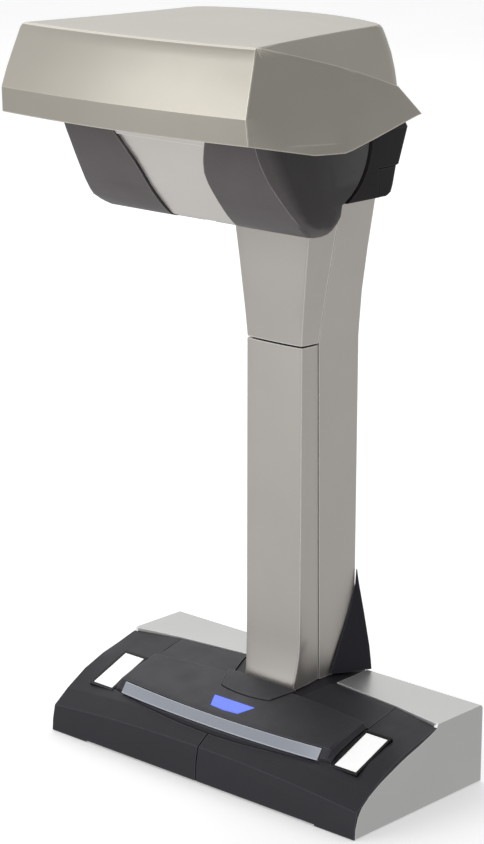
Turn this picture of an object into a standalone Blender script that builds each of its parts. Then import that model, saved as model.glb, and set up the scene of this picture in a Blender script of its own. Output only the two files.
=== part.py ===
"""Overhead book scanner: weighted base with operating console, column and hooded swinging scan head.

Millimetres in the constants and helpers, metres in the mesh. +X right, front faces -Y, +Z up.
The origin is on the table under the middle of the bounding box.
"""
import math

import bmesh
import bpy
from mathutils import Vector

# ---------------------------------------------------------------- driving dimensions (mm)
K = 0.001
HALF_W = 105.0
BASE_FRONT = -22.4
BASE_BACK = 78.0
BASE_TOP = 41.7
WALL = 2.4
GAP = 0.3

PIVOT_Y = -10.0
PIVOT_Z = 335.0
ARC_R = 35.2
SWING_GAP = 0.45

COLUMN_HALF = 19.0
COLUMN_FRONT = 35.2
COLUMN_SEAM = 50.2
NECK_SEAM_Z = 219.9

SCAN_TRAVEL = 1.2
STOP_TRAVEL = 1.0

MODULE = 0.8
SECTOR_TEETH = 60
IDLER_TEETH = 20
PINION_TEETH = 10
MESH_ANGLE = math.radians(50.0)

# black base cover, side profile (y, z) from the rear edge to the front foot
DECK = [(51.6, 41.2), (46.3, 40.9), (42.5, 40.3), (36.0, 38.7), (29.0, 36.7), (15.9, 33.5), (2.3, 28.4), (-10.9, 20.8),
        (-16.0, 17.08), (-20.4, 13.9), (-21.9, 6.6), (-22.4, 0.3)]
# fairing round the column's foot (y, z), a little below the cover
FAIRING = [(15.9, 33.5), (29.0, 36.6), (42.5, 39.4), (46.3, 40.2), (51.6, 40.4)]
# silver side wall under it
SILL = [(40.6, 39.2), (34.5, 36.9), (27.4, 34.5), (19.7, 32.3), (12.0, 29.7), (4.4, 26.8), (-3.2, 23.7),
        (-10.7, 19.8), (-16.6, 15.5), (-19.5, 11.2), (-21.3, 5.5), (-21.5, 0.3)]
# line where the silver top meets the black cover, (x, y)
SILVER_LINE = [(-105.0, 40.9), (-74.7, 46.3), (-31.7, 51.3), (31.7, 51.3), (74.7, 46.3), (105.0, 40.9)]
# plan of the raised console block, right half (x, y)
CONSOLE_SIDE = [(75.4, -4.9), (75.1, 22.7)]
CONSOLE_BOW = 8.3
FACE_BOW = 0.55
SEAM_HALF = 0.38
BAR_DROP = 0.5
BAR_WIDTH = 6.6
CONSOLE_BACK = [(75.1, 22.7), (74.7, 46.0)]

# hood: z, front y at the middle, front corner x, front corner y, back y at the middle
HOOD = [(328.0, -77.4, 79.6, -71.9, 76.6), (339.4, -77.4, 79.6, -71.9, 76.2), (351.5, -78.0, 79.0, -72.8, 75.0),
        (360.0, -75.8, 78.2, -70.2, 73.2), (368.0, -73.2, 77.2, -67.3, 70.6), (375.0, -70.6, 76.2, -64.7, 67.0),
        (379.3, -68.8, 75.5, -63.2, 64.4), (380.9, -67.7, 75.0, -62.2, 62.6), (381.6, -66.4, 74.0, -61.0, 60.6)]
# wing face: z, control x, y, shoulder x, y, ridge x, y
WING = [(328.0, 103.0, -50.0, 104.8, -31.0, 105.0, 22.0), (339.4, 100.0, -49.5, 103.5, -28.0, 104.9, 22.0),
        (346.0, 94.0, -49.5, 101.3, -25.0, 103.4, 21.0), (351.5, 91.0, -49.0, 99.5, -25.0, 102.2, 16.0),
        (360.6, 88.0, -46.0, 96.5, -20.0, 100.0, 7.0), (364.0, 86.5, -45.0, 95.0, -19.0, 98.0, -2.0),
        (368.0, 85.0, -45.0, 92.5, -23.0, 95.0, -13.0), (372.0, 82.3, -47.0, 88.0, -30.0, 90.0, -24.9),
        (377.0, 78.0, -55.5, 80.3, -47.0, 82.0, -42.0), (381.4, 75.3, -61.2, 75.45, -60.4, 75.6, -59.4)]
# shelf on top of the wing (y, z)
SHELF = [(-62.0, 382.4), (-42.0, 377.0), (-24.9, 372.0), (-13.0, 368.0), (-2.0, 364.0), (7.0, 360.6),
         (21.0, 346.5), (34.0, 333.0)]
ROOF_RISE = 0.75
# lower rim of the hood (y, z)
RIM = [(-90.0, 339.4), (-71.9, 339.4), (-48.0, 334.8), (-33.0, 334.8), (18.0, 346.4), (57.0, 352.6),
       (90.0, 354.4)]

# swinging scan unit: z, front y, crease x, crease y, side x, side front y, rear y at the side, rear y inside
UNIT = [(288.0, -11.5, 62.0, -11.5, 64.5, -9.9, -8.4, -2.0), (288.6, -14.4, 65.2, -13.8, 67.4, -8.8, -6.2, 0.2),
        (289.8, -17.0, 67.0, -16.0, 69.4, -7.2, -4.0, 1.8), (291.4, -18.7, 68.2, -18.6, 70.6, -6.2, -2.2, 2.8),
        (294.4, -21.6, 69.1, -22.8, 71.6, -5.4, 0.2, 3.4), (297.5, -24.4, 68.5, -25.8, 72.0, -6.2, 2.2, 3.6),
        (302.6, -28.9, 67.2, -30.0, 71.6, -8.1, 3.76, 3.76), (309.4, 0.0, 65.5, -34.9, 71.1, -10.2, 0.0, 0.0),
        (316.6, 0.0, 63.9, -39.8, 70.6, -12.4, 0.0, 0.0), (324.8, 0.0, 62.9, -44.4, 70.1, -15.8, 0.0, 0.0),
        (332.4, 0.0, 62.9, -48.0, 69.5, -18.6, 0.0, 0.0), (340.0, 0.0, 62.9, -50.6, 69.0, -21.0, 0.0, 0.0)]
STRIP = [(288.9, 21.0), (291.3, 21.2), (301.4, 21.6), (311.8, 21.6), (317.7, 22.5), (323.7, 25.0),
         (332.3, 29.3), (338.0, 32.0)]


# ---------------------------------------------------------------- scene set-up
for old in list(bpy.data.objects):
    bpy.data.objects.remove(old, do_unlink=True)

ROOT = bpy.context.scene.collection
PARTS = bpy.data.collections.new("book_scanner")
CUTTERS = bpy.data.collections.new("book_scanner_cutters")
ROOT.children.link(PARTS)
ROOT.children.link(CUTTERS)


def paint(name, rgb, rough, metal):
    """One Principled material per sub-part."""
    mat = bpy.data.materials.new(name)
    mat.use_nodes = True
    node = mat.node_tree.nodes["Principled BSDF"]
    node.inputs["Base Color"].default_value = (rgb[0], rgb[1], rgb[2], 1.0)
    node.inputs["Roughness"].default_value = rough
    node.inputs["Metallic"].default_value = metal
    return mat


SILVER = ((0.52, 0.50, 0.46), 0.42, 0.55)
BLACK = ((0.045, 0.043, 0.048), 0.55, 0.0)
DARK = ((0.11, 0.10, 0.105), 0.5, 0.0)
STEEL = ((0.55, 0.55, 0.56), 0.35, 0.9)
BRASS = ((0.70, 0.55, 0.28), 0.3, 0.9)
RUBBER = ((0.03, 0.03, 0.03), 0.85, 0.0)
BOARD = ((0.04, 0.22, 0.10), 0.5, 0.0)
WHITE = ((0.88, 0.88, 0.86), 0.6, 0.0)
BLUEGREY = ((0.34, 0.37, 0.42), 0.45, 0.1)
BLUE = ((0.16, 0.24, 0.95), 0.25, 0.0)
GLASS = ((0.10, 0.12, 0.16), 0.08, 0.0)
PLASTIC = ((0.82, 0.80, 0.74), 0.5, 0.0)


def mesh_object(name, verts, faces, look=None):
    """A mesh object from points in mm; parts get a look, cutters do not."""
    mesh = bpy.data.meshes.new(name)
    mesh.from_pydata([(v[0] * K, v[1] * K, v[2] * K) for v in verts], [], faces)
    mesh.validate()
    obj = bpy.data.objects.new(name, mesh)
    if look is None:
        CUTTERS.objects.link(obj)
        obj.hide_render = True
        obj.display_type = 'WIRE'
    else:
        PARTS.objects.link(obj)
        mesh.materials.append(paint(name, *look))
    return obj


def signed_volume(verts, faces):
    total = 0.0
    for face in faces:
        a = Vector(verts[face[0]])
        for i in range(1, len(face) - 1):
            total += a.dot(Vector(verts[face[i]]).cross(Vector(verts[face[i + 1]])))
    return total


def loft(name, rings, look=None):
    """Closed body through rings of equal length, capped at both ends, facing out."""
    count = len(rings[0])
    verts = [p for ring in rings for p in ring]
    faces = []
    for k in range(len(rings) - 1):
        for i in range(count):
            j = (i + 1) % count
            faces.append((k * count + i, k * count + j, (k + 1) * count + j, (k + 1) * count + i))
    faces.append(tuple(reversed(range(count))))
    last = (len(rings) - 1) * count
    faces.append(tuple(range(last, last + count)))
    if signed_volume(verts, faces) < 0:
        faces = [tuple(reversed(face)) for face in faces]
    return mesh_object(name, verts, faces, look)


def prism_z(name, outline, z0, z1, look=None):
    return loft(name, [[(x, y, z0) for x, y in outline], [(x, y, z1) for x, y in outline]], look)


def prism_x(name, outline, x0, x1, look=None):
    return loft(name, [[(x0, y, z) for y, z in outline], [(x1, y, z) for y, z in outline]], look)


def prism_y(name, outline, y0, y1, look=None):
    return loft(name, [[(x, y0, z) for x, z in outline], [(x, y1, z) for x, z in outline]], look)


def box(name, lo, hi, look=None):
    return prism_z(name, [(lo[0], lo[1]), (hi[0], lo[1]), (hi[0], hi[1]), (lo[0], hi[1])], lo[2], hi[2], look)


def circle(cx, cy, r, n=32, start=0.0):
    return [(cx + r * math.cos(start + 2 * math.pi * i / n), cy + r * math.sin(start + 2 * math.pi * i / n))
            for i in range(n)]


def boolean(obj, cutter, op='DIFFERENCE'):
    mod = obj.modifiers.new(op.lower(), 'BOOLEAN')
    mod.operation = op
    mod.solver = 'EXACT'
    mod.object = cutter
    return obj


def table(rows, z, col):
    """Linear reading of a table whose first column is the height (or station)."""
    if z <= rows[0][0]:
        return rows[0][col]
    for a, b in zip(rows, rows[1:]):
        if z <= b[0]:
            t = (z - a[0]) / (b[0] - a[0])
            return a[col] + t * (b[col] - a[col])
    return rows[-1][col]


def offset_closed(pts, d):
    """Counter-clockwise polygon moved inwards by d."""
    out = []
    n = len(pts)
    for i in range(n):
        p, q, r = Vector(pts[i - 1]), Vector(pts[i]), Vector(pts[(i + 1) % n])
        u, v = (q - p).normalized(), (r - q).normalized()
        a, b = Vector((-u.y, u.x)), Vector((-v.y, v.x))
        k = max(0.35, 1.0 + a.dot(b))
        m = q + (a + b) * (d / k)
        out.append((m.x, m.y))
    return out


def offset_open(pts, d):
    """Open path moved to its left by d."""
    out = []
    n = len(pts)
    for i in range(n):
        q = Vector(pts[i])
        u = (q - Vector(pts[i - 1])).normalized() if i > 0 else None
        v = (Vector(pts[i + 1]) - q).normalized() if i < n - 1 else None
        u = u or v
        v = v or u
        a, b = Vector((-u.y, u.x)), Vector((-v.y, v.x))
        k = max(0.35, 1.0 + a.dot(b))
        m = q + (a + b) * (d / k)
        out.append((m.x, m.y))
    return out


def rounded(pts, radii, n=5):
    """Polygon with each corner replaced by an arc of n steps; radius 0 keeps the corner."""
    out = []
    m = len(pts)
    for i in range(m):
        p, q, r = Vector(pts[i - 1]), Vector(pts[i]), Vector(pts[(i + 1) % m])
        rad = radii[i] if isinstance(radii, (list, tuple)) else radii
        if rad <= 0:
            out.append((q.x, q.y))
            continue
        u, v = (p - q).normalized(), (r - q).normalized()
        half = math.acos(max(-1.0, min(1.0, u.dot(v)))) / 2
        cut = rad / math.tan(half)
        centre = q + (u + v).normalized() * (rad / math.sin(half))
        a, b = q + u * cut - centre, q + v * cut - centre
        t0 = math.atan2(a.y, a.x)
        dt = math.atan2(a.x * b.y - a.y * b.x, a.dot(b))
        for s in range(n + 1):
            t = t0 + dt * s / n
            out.append((centre.x + rad * math.cos(t), centre.y + rad * math.sin(t)))
    return out


def rect(cx, cy, w, h):
    return [(cx - w / 2, cy - h / 2), (cx + w / 2, cy - h / 2), (cx + w / 2, cy + h / 2), (cx - w / 2, cy + h / 2)]


# ---------------------------------------------------------------- base: silver rear housing
def deck_z(y):
    return table([(a, b) for a, b in reversed(DECK)], y, 1)


def foot_z(y):
    """Top of the fairing round the column's foot."""
    return table(FAIRING, y, 1)


def crown(x, y):
    """Extra height of the black cover towards the middle of the base."""
    side = 1.0 - (x / HALF_W) ** 2
    reach = min(1.0, max(0.0, (32.0 - y) / 46.0))
    return 5.0 * side * reach


shell = [(78.0, 0.3), (78.0, 39.8), (77.4, 41.1), (76.0, 41.7), (41.5, 41.7)] + SILL
core = [(75.6, -3.0), (75.6, 39.3), (36.0, 39.3)] + [(y + 1.9, z - 1.5) for y, z in SILL[1:-1]] + [(-19.2, -3.0)]
base_rear = prism_x("base_rear_housing", shell, -HALF_W, HALF_W, SILVER)
boolean(base_rear, prism_x("cut_base_core", core, -HALF_W + 2.0, HALF_W - 2.0))
front_area = [(-102.9, -40.0), (102.9, -40.0), (102.9, 41.3)] + [(x, y) for x, y in reversed(SILVER_LINE[1:-1])]
front_area = front_area + [(-102.9, 41.3)]
boolean(base_rear, prism_z("cut_base_front", front_area, -2.0, 60.0))
boolean(base_rear, prism_z("cut_base_fin", [(-31.1, 45.0), (31.1, 45.0), (31.1, 60.0), (30.3, 82.0), (-30.3, 82.0),
                                           (-31.1, 60.0)], 38.2, 60.0))
boolean(base_rear, box("cut_inlet", (-64.4, 70.0, 17.0), (-53.6, 82.0, 27.6)))
boolean(base_rear, box("cut_usb", (-44.4, 70.0, 17.0), (-31.6, 82.0, 29.6)))

# ---------------------------------------------------------------- base: black covers
stations = [-105.0, -104.0, -98.0, -92.0, -84.0, -76.0, -68.0, -58.0, -48.0, -36.0, -24.0, -12.0, 0.0, 12.0, 24.0,
            36.0, 48.0, 58.0, 68.0, 76.0, 84.0, 92.0, 98.0, 104.0, 105.0]


def deck_ring(x):
    """Closed section of the black cover at one station across the base."""
    top = [(y, z + crown(x, y)) for y, z in DECK[:-1]] + [DECK[-1]]
    thick = 1.9 if abs(x) > 103.5 else 2.2
    low = offset_open(top, thick)
    low[-1] = (low[-1][0], DECK[-1][1])
    ring = top + list(reversed(low))
    return [(x, y, z) for y, z in ring]


def console_plan(inset):
    """Outline of the raised console and the deck behind it, counter-clockwise."""
    front = []
    for i in range(-10, 11):
        x = 75.4 * i / 10.0
        front.append((x, -4.9 - CONSOLE_BOW * (1.0 - (i / 10.0) ** 2)))
    back = [(75.1, 22.7), (74.7, 60.0), (-74.7, 60.0), (-75.1, 22.7)]
    return offset_closed(front + back, inset)


def split_line(inset):
    """Area of the black covers in front of the silver top."""
    pts = [(-120.0, -60.0), (120.0, -60.0), (120.0, 40.9)]
    pts += [(x, y) for x, y in reversed(SILVER_LINE)] + [(-120.0, 40.9)]
    return [(x, y - (inset if y > 0 else 0.0)) for x, y in pts]


sill = [(60.0, 42.2), (41.2, 42.2)] + [(y - 0.12, z + 0.36) for y, z in SILL] + [(-21.9, -5.0), (60.0, -5.0)]
sill_cuts = {-1: prism_x("cut_sill_left", sill, -120.0, -102.5), 1: prism_x("cut_sill_right", sill, 102.5, 120.0)}
area = prism_z("cut_silver_line", split_line(GAP), -10.0, 80.0)
console_hole = prism_z("cut_console_hole", console_plan(0.0), -10.0, 80.0)
for side, tag in ((-1, "left"), (1, "right")):
    cover = loft("front_cover_" + tag, [deck_ring(x) for x in stations], BLACK)
    boolean(cover, area, 'INTERSECT')
    boolean(cover, sill_cuts[side])
    boolean(cover, console_hole)
    lo, hi = (-SEAM_HALF, 130.0) if side < 0 else (-130.0, SEAM_HALF)
    boolean(cover, box("cut_half_" + tag, (lo, -60.0, -10.0), (hi, 80.0, 80.0)))
    # the middle of the front edge stands slightly off the table
    notch = (-79.5, -0.1) if side < 0 else (0.1, 79.5)
    boolean(cover, box("cut_foot_" + tag, (notch[0], -40.0, -1.0), (notch[1], -5.0, 1.0)))
    # raised frame for the white reference sheet
    cx = side * 84.2
    seat = Vector((0.0, 0.93, 0.367))
    up = Vector((0.0, -0.367, 0.93))
    mid = Vector((cx, 7.8, 29.9))

    def plate(name, w, length, low, high, look=None, mid=mid, seat=seat, up=up):
        rings = []
        for h in (low, high):
            ring = []
            for sx, sy in ((-1, -1), (1, -1), (1, 1), (-1, 1)):
                p = mid + Vector((sx * w / 2, 0, 0)) + seat * (sy * length / 2) + up * h
                ring.append((p.x, p.y, p.z))
            rings.append(ring)
        return loft(name, rings, look)

    boolean(cover, plate("add_frame_" + tag, 17.0, 29.4, -1.6, 1.5), 'UNION')
    boolean(cover, plate("cut_frame_" + tag, 14.2, 26.6, 0.5, 4.0))
    sheet = plate("reference_sheet_" + tag, 13.6, 26.0, 0.8, 1.3, WHITE)

# ---------------------------------------------------------------- base: console
TOP_SLOPE = 0.26


def console_top(x, y):
    return 33.4 + TOP_SLOPE * y + 0.7 * (1.0 - (x / 75.4) ** 2)


def bow(x):
    return CONSOLE_BOW * (1.0 - (x / 75.4) ** 2)


def console_ring(x, shrink):
    """Section of the console: bevelled front face, sloping raised top, step down to the deck behind it."""
    b = bow(x)
    t = FACE_BOW * b
    high = table([(71.4, 1.0), (72.6, 0.9), (74.7, 0.3), (75.0, 0.12)], abs(x), 1)
    edge = 22.9 + 3.8 * (1.0 - (x / 75.4) ** 2)

    def deck(y):
        return deck_z(y) + crown(x, y)

    def top(y):
        return deck(y) + (console_top(x, y) - deck(y)) * high

    pts = [(51.2, 24.0), (51.2, deck(51.2)), (46.3, deck(46.3)), (42.5, deck(42.5)), (34.0, deck(34.0)),
           (edge + 1.4, deck(edge + 1.4)), (edge + 0.4, top(edge) - 0.7 * high), (edge - 0.5, top(edge - 0.5)),
           (12.0, top(12.0)), (0.5 - t, top(0.5 - t)), (-1.9 - t, top(-1.9 - t) - 0.6 * high),
           (-5.9 - b * 0.98, 25.6 - 0.5 * (1.0 - high)), (-5.6 - b * 0.98, 22.2 - 1.4 * (1.0 - b / CONSOLE_BOW))]
    if shrink > 0:
        s = shrink
        pts = [(62.0, 10.0), (62.0, pts[1][1] - s)] + [(y, z - s) for y, z in pts[2:5]]
        pts += [(edge - 0.4, deck(edge + 1.4) - s), (edge - 1.6, top(edge) - 0.7 - s), (edge - 2.4, top(edge) - s),
                (12.0, top(12.0) - s), (1.2 - t, top(0.5 - t) - s), (0.8 - t, top(-1.9 - t) - s - 0.8),
                (-3.2 - b * 0.98, 25.6), (-3.0 - b * 0.98, 10.0)]
    return [(x, y, z) for y, z in pts]


half_stations = [10.0, 20.0, 28.0, 36.0, 46.0, 56.0, 66.0, 71.4, 72.6, 74.7, 75.0]
cs = [-x for x in reversed(half_stations)] + [0.0] + half_stations
console = loft("console_cover", [console_ring(x, 0.0) for x in cs], BLACK)
inner = [-71.0, -66.0, -56.0, -46.0, -36.0, -28.0, -20.0, -10.0, 0.0, 10.0, 20.0, 28.0, 36.0, 46.0, 56.0, 66.0, 71.0]
boolean(console, loft("cut_console_core", [console_ring(x, 2.0) for x in inner]))
boolean(console, prism_z("cut_console_plan", split_line(GAP), -10.0, 80.0), 'INTERSECT')
boolean(console, prism_z("cut_console_edge", console_plan(0.5), -10.0, 80.0), 'INTERSECT')

# opening in the deck for the fairing round the column's foot
fair = [(-23.4, 29.0), (23.4, 29.0), (31.6, 52.0), (31.6, 60.0), (-31.6, 60.0), (-31.6, 52.0)]
boolean(console, prism_z("cut_fairing", fair, 10.0, 80.0))

# scan bar: long bowed key on the bevelled front face
def bar_ring(x, long_in, depth_lo, depth_hi):
    """Rectangle across the bevelled face at one station, depth measured along the face normal."""
    b = bow(x)
    top = Vector((-1.9 - FACE_BOW * b, console_top(x, -1.9 - FACE_BOW * b) - 0.6))
    down = (Vector((-5.9 - b * 0.98, 25.6)) - top).normalized()
    out = Vector((down.y, -down.x))
    a = top + down * (BAR_DROP + long_in)
    c = top + down * (BAR_DROP + BAR_WIDTH - long_in)
    pts = [a + out * depth_lo, c + out * depth_lo, c + out * depth_hi, a + out * depth_hi]
    return [(x, p.x, p.y) for p in pts]


bs = [-1.0, -0.95, -0.85, -0.7, -0.55, -0.4, -0.25, -0.12, 0.0, 0.12, 0.25, 0.4, 0.55, 0.7, 0.85, 0.95, 1.0]
boolean(console, loft("cut_scan_bar", [bar_ring(68.4 * s, -0.45, -7.0, 4.0) for s in bs]))
scan = loft("scan_button", [bar_ring(67.9 * s, 0.0, -2.6, 0.55) for s in bs], BLUEGREY)

# status lens and stop button in the sloping top
lens_plan = [(-9.4, -1.0), (0.0, -1.7), (9.4, -1.0), (13.9, 6.9), (-13.9, 6.9)]


def sloping(name, plan, low, high, look=None):
    """Prism standing on the console's sloping top, low and high measured from that surface."""
    rings = []
    for h in (low, high):
        rings.append([(x, y, console_top(0, y) - 0.05 + h) for x, y in plan])
    return loft(name, rings, look)


boolean(console, sloping("cut_lens", offset_closed(lens_plan, -0.3), -6.0, 6.0))
lens = sloping("status_lens", lens_plan, -1.9, 0.15, BLUE)
stop_plan = [(-16.6, 15.1), (-11.0, 13.9), (-4.0, 13.2), (4.0, 13.2), (11.0, 13.9), (16.6, 15.1), (23.4, 28.0),
             (-23.4, 28.0)]
boolean(console, sloping("cut_stop", offset_closed(stop_plan, -0.45), -8.0, 8.0))
stop = sloping("stop_button", stop_plan, -2.4, 0.7, BLACK)

# fairing round the foot of the column, black, carries on to the back between the silver plates
fair_in = [(-23.0, 29.4), (23.0, 29.4), (31.0, 51.0), (30.7, 60.0), (29.9, 77.7), (-29.9, 77.7), (-30.7, 60.0),
           (-31.0, 51.0)]
skin = [(y, foot_z(y)) for y in (26.0, 29.0, 34.0, 42.5, 46.3, 51.6)] + [(80.0, 40.4)]
surround = prism_x("column_surround", skin + [(y, z - 2.0) for y, z in reversed(skin)], -40.0, 40.0, BLACK)
boolean(surround, prism_z("keep_surround", fair_in, 20.0, 60.0), 'INTERSECT')
boolean(surround, prism_z("cut_surround", rounded(rect(0.0, 64.5, 30.0, 21.0), 2.0), 30.0, 60.0))

# ---------------------------------------------------------------- base: floor, ballast, feet, boards
floor = prism_z("base_floor_plate", rounded([(-101.6, -18.6), (101.6, -18.6), (101.6, 75.0), (-101.6, 75.0)], 3.0),
                2.3, 4.3, BLACK)
ballast = prism_z("ballast_plate", rounded([(-90.0, 24.0), (90.0, 24.0), (90.0, 73.0), (-90.0, 73.0)], 2.0),
                  4.7, 13.9, STEEL)
screw_spots = [(-60.0, -4.0), (60.0, -4.0), (-60.0, 66.0), (60.0, 66.0)]
for n, (sx, sy) in enumerate(screw_spots, 1):
    boolean(floor, prism_z("cut_floor_screw_%d" % n, circle(sx, sy, 1.7, 20), 0.0, 8.0))
    if sy > 0:
        boolean(ballast, prism_z("cut_ballast_screw_%d" % n, circle(sx, sy, 1.7, 20), 0.0, 11.0))
    z_head = [(0.8, 2.2), (1.1, 2.7), (2.05, 2.7), (2.05, 1.5), (10.2, 1.5), (10.5, 1.2)]
    loft("base_screw_%d" % n, [[(x, y, z) for x, y in circle(sx, sy, r, 20)] for z, r in z_head], STEEL)
foot_spots = [(-88.0, -8.0), (88.0, -8.0), (-88.0, 62.0), (88.0, 62.0)]
for n, (sx, sy) in enumerate(foot_spots, 1):
    rows = [(0.0, 5.6), (0.5, 6.2), (2.0, 6.2)]
    loft("rubber_foot_%d" % n, [[(x, y, z) for x, y in circle(sx, sy, r, 28)] for z, r in rows], RUBBER)
main_board = box("main_board", (-86.0, 34.0, 15.4), (-26.0, 70.0, 17.0), BOARD)
inlet = box("dc_inlet", (-64.0, 65.0, 17.4), (-54.0, 77.8, 27.2), BLACK)
boolean(inlet, prism_y("cut_inlet_bore", circle(-59.0, 22.4, 3.3, 24), 68.0, 82.0))
usb = box("usb_socket", (-44.0, 62.0, 17.4), (-32.0, 77.8, 29.2), STEEL)
boolean(usb, prism_y("cut_usb_bore", rounded([(-42.4, 19.0), (-33.6, 19.0), (-33.6, 27.6), (-42.4, 27.6)],
                                            [0.4, 0.4, 1.8, 1.8], 2), 66.0, 82.0))
boolean(usb, box("add_usb_tongue", (-40.8, 65.0, 21.7), (-35.2, 72.4, 24.9)), 'UNION')
for side, tag in ((-1, "left"), (1, "right")):
    box("scan_switch_" + tag, (side * 45.0 - 3.0, 4.0, 14.0), (side * 45.0 + 3.0, 10.0, 17.6), BLACK)
stop_switch = box("stop_switch", (-3.0, 16.6, 27.0), (3.0, 22.6, 30.6), BLACK)

# ---------------------------------------------------------------- black fins beside the column's foot
fin_rows = [(42.1, 57.0, 32.3), (46.6, 59.6, 31.8), (54.6, 63.5, 30.6), (64.5, 68.4, 28.4), (71.9, 71.7, 26.7),
            (80.4, 75.0, 24.6), (86.9, 76.9, 23.0), (94.6, 77.7, 21.3)]
for side, tag in ((-1, "left"), (1, "right")):
    rings = []
    for z, ys, xb in fin_rows:
        mx, my = (20.9 + xb) / 2 + 0.4, (ys + 78.0) / 2 - 0.35 * (78.0 - ys) * 0.16
        ring = [(20.9, ys), (mx, my), (xb, 77.6), (xb - 0.2, 78.0), (20.9, 78.0)]
        rings.append([(side * x, y, z) for x, y in ring])
    loft("fin_" + tag, rings, BLACK)

# ---------------------------------------------------------------- column covers
FRONT_HALF = [(220, 19.4), (226, 20.2), (290, 30.2), (303, 32.2), (334, 37.0), (351, 39.0)]
REAR_HALF = [(222, 20.5), (243, 22.8), (266, 26.8), (290, 31.6), (303, 34.0), (334, 40.5), (351, 43.0)]
SEAM = [(41.0, 50.4), (219.4, 47.4), (226.0, 47.5), (292.0, 50.2), (303.0, 50.4)]


def front_outline(half, yf, xc, yc, xs, seam):
    """Front half of the column in plan, from the left seam round the front to the right seam."""
    right = [(0.0, yf - 0.35), (half * 0.35, yf - 0.27), (half * 0.7, yf - 0.02), (half - 1.6, yf + 0.25),
             (half - 0.5, yf + 0.75), (half, yf + 1.7), (xc, yc), (xs, seam - 0.15)]
    left = [(-x, y) for x, y in reversed(right[1:])]
    return left + right


def u_shell(path, thick):
    """U section: the path outside, its copy moved inwards by the wall, flat ends."""
    inside = offset_open(path, thick)
    inside[0] = (inside[0][0], path[0][1])
    inside[-1] = (inside[-1][0], path[-1][1])
    return path + list(reversed(inside))


rows = []
for z in (38.0, 42.2, 45.0, 48.0, 52.0, 56.0, 60.0, 66.0, 219.4):
    foot = max(0.0, (66.0 - z) / 28.0) ** 2
    half = 18.8 - 2.0 * foot
    front = COLUMN_FRONT + 0.5 - 0.5 * z / 220.0 - 3.2 * foot
    path = front_outline(half, front, 19.0, 43.0, 19.0, table(SEAM, z, 1))
    rows.append([(x, y, z if z > 39.0 else foot_z(y) + 0.6) for x, y in u_shell(path, 2.0)])
loft("column_front_cover", rows, SILVER)

rows = []
for z in (220.4, 232.0, 246.0, 260.0, 270.0, 277.0, 285.0, 292.0, 297.0, 302.0):
    t = (z - 220.0) / 57.0
    half = 18.6 + 6.2 * t ** 1.15
    yf = 35.2 - 2.5 * t
    u = min(1.0, max(0.0, (z - 220.0) / 72.0))
    xs = table(FRONT_HALF, z, 1)
    xc = 18.7 + (xs - 0.1 - 18.7) * u ** 0.9
    yc = max(yf + 2.3, 37.0 + 10.5 * u)
    path = front_outline(half, yf, max(xc, half + 0.02), min(yc, table(SEAM, z, 1) - 1.6), xs, table(SEAM, z, 1))
    rows.append([(x, y, z) for x, y in u_shell(path, 2.0)])
loft("neck_front_cover", rows, SILVER)

HOUSING_BACK = [(302.8, 38.6), (304.2, 41.4), (308.0, 43.2), (316.4, 46.0), (316.8, 47.8), (333.8, 55.6),
                (345.0, 58.0), (352.0, 59.0)]




def rear_path(half, y0, back, corner, wide):
    pts = [(half, y0), (wide, back - corner), (wide - corner * 0.12, back - corner * 0.55),
           (wide - corner * 0.42, back - corner * 0.16), (wide - corner, back)]
    return pts + [(-x, y) for x, y in reversed(pts)]


rows = []
for z in (40.8, 80.0, 140.0, 219.4, 226.0, 234.0, 243.0, 255.0, 266.0, 278.0, 290.0, 302.2, 302.6, 304.2, 308.0,
          316.4, 316.8, 325.0, 333.8, 342.0, 349.6):
    half = 19.5 if z < 220.0 else table(FRONT_HALF, z, 1)
    wide = table(REAR_HALF, z, 1)
    back = table([(300, 78.0), (330, 77.6), (351, 75.4)], z, 1)
    y0 = table(SEAM, z, 1) + 0.15
    if z > 302.5:
        y0 = table(HOUSING_BACK, z, 1) + 0.6
    corner = 1.3 + 0.05 * max(0.0, z - 226.0)
    rows.append([(x, y, z) for x, y in u_shell(rear_path(half, y0, back, corner, wide), 2.0)])
loft("column_rear_cover", rows, SILVER)

frame = prism_z("column_frame", [(-12.5, 59.0), (-10.5, 59.0), (-10.5, 70.5), (10.5, 70.5), (10.5, 59.0),
                                 (12.5, 59.0), (12.5, 72.5), (-12.5, 72.5)], 14.3, 343.4, STEEL)
boolean(frame, box("add_frame_foot", (-24.0, 44.0, 14.3), (24.0, 72.5, 16.6)), 'UNION')

# ---------------------------------------------------------------- hood
def hood_side(y):
    return table([(-62.0, 74.6), (-40.0, 70.0), (-13.0, 65.4), (15.0, 62.0), (45.0, 59.4)], y, 1)


def hood_outline(z, d):
    """Plan of the hood's middle block at one height, counter-clockwise, moved in by d."""
    yf, xc, yc, yb = (table(HOOD, z, c) for c in (1, 2, 3, 4))
    widen = (382.0 - z) * 0.085
    front = [(xc * i / 7.0, yf + (yc - yf) * (i / 7.0) ** 2) for i in range(-7, 8)]
    side = []
    for y in (-40.0, -13.0, 15.0, 30.0):
        side.append((hood_side(y) + widen * 0.8, y))
    xk = 59.9 + (382.0 - z) * 0.05
    yk = yb - 17.0 * (xk / 60.0) ** 2
    k1, k2 = (xk + 0.55, yk - 7.5), (xk - 7.5, yb - 17.0 * ((xk - 7.5) / 60.0) ** 2)
    arc = []
    for s in range(7):
        t = s / 6.0
        a, b, c = (1 - t) ** 2, 2 * t * (1 - t), t ** 2
        arc.append((a * k1[0] + b * xk + c * k2[0], a * k1[1] + b * yk + c * k2[1]))
    back = [(40.0 * i / 4.0, yb - 17.0 * (40.0 * i / 4.0 / 60.0) ** 2) for i in range(4, -5, -1)]
    pts = front + side + arc + back + [(-x, y) for x, y in reversed(arc)] + [(-x, y) for x, y in reversed(side)]
    return offset_closed(pts, d) if d else pts


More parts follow.
